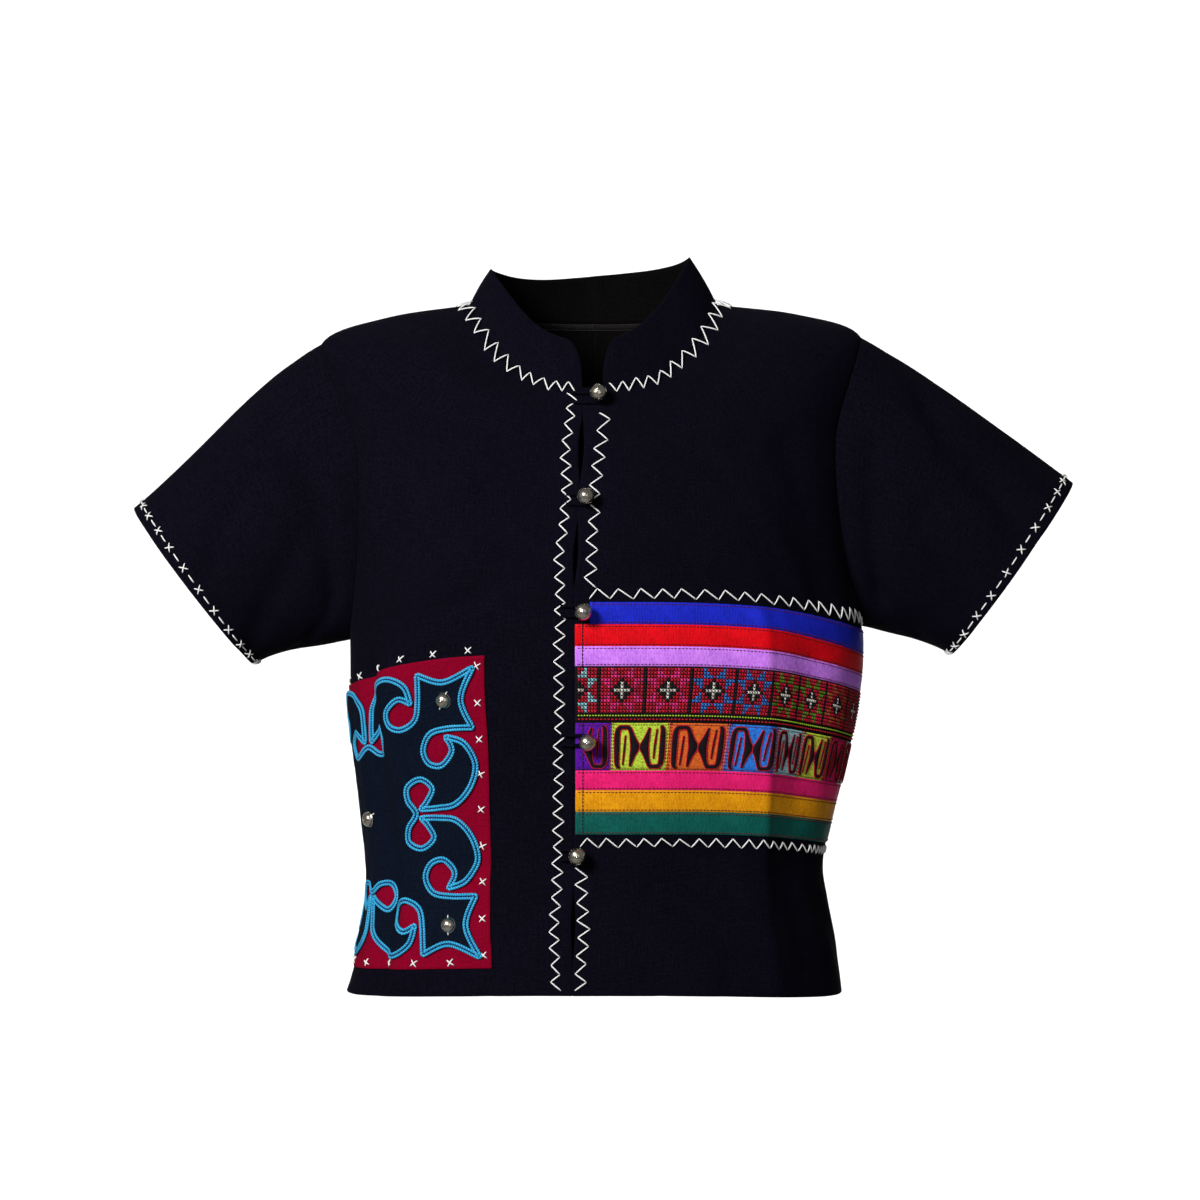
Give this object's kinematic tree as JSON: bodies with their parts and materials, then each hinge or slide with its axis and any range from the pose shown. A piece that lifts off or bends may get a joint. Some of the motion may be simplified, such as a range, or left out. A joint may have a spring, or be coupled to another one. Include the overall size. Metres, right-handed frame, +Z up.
{
  "type": "embroidered crop top",
  "caption": "Short-sleeved cropped top with a stand collar, open front, ribbon band and appliqued side patch, held as if worn.",
  "frame": {"origin": "level with the side neck points, midway between them, where the neck and shoulders hold the top", "axes": "+X to the wearer's left, -Y out of the front, +Z up"},
  "size_m": [0.6887, 0.2346, 0.538],
  "materials": {
    "navy_cotton": "matt plain weave cotton, near black navy",
    "ribbon_blue": "satin ribbon",
    "ribbon_red": "satin ribbon",
    "ribbon_lilac": "satin ribbon",
    "cross_stitch": "counted cross stitch in coloured thread",
    "square_strip": "coloured cotton squares with black applique",
    "ribbon_pink": "satin ribbon",
    "ribbon_gold": "satin ribbon",
    "ribbon_green": "satin ribbon",
    "maroon_cotton": "matt cotton",
    "navy_applique": "matt cotton with couched blue cord",
    "silver": "polished silver, a little tarnished"
  },
  "bodies": {
    "root": {"back": "navy_cotton", "front_right": "navy_cotton", "front_left": "navy_cotton", "sleeve_right": "navy_cotton", "sleeve_left": "navy_cotton", "collar": "navy_cotton", "ribbon_green": "ribbon_green", "ribbon_gold": "ribbon_gold", "ribbon_pink": "ribbon_pink", "strip_squares": "square_strip", "strip_cross_stitch": "cross_stitch", "ribbon_lilac": "ribbon_lilac", "ribbon_red": "ribbon_red", "ribbon_blue": "ribbon_blue", "patch_ground": "maroon_cotton", "patch_applique": "navy_applique", "stud_1": "silver", "stud_2": "silver", "stud_3": "silver", "stud_4": "silver", "stud_5": "silver", "button_1": "silver", "button_2": "silver", "button_3": "silver", "button_4": "silver", "button_5": "silver", "loop_1": "navy_cotton", "loop_2": "navy_cotton", "loop_3": "navy_cotton", "loop_4": "navy_cotton", "loop_5": "navy_cotton"}
  },
  "joints": []
}
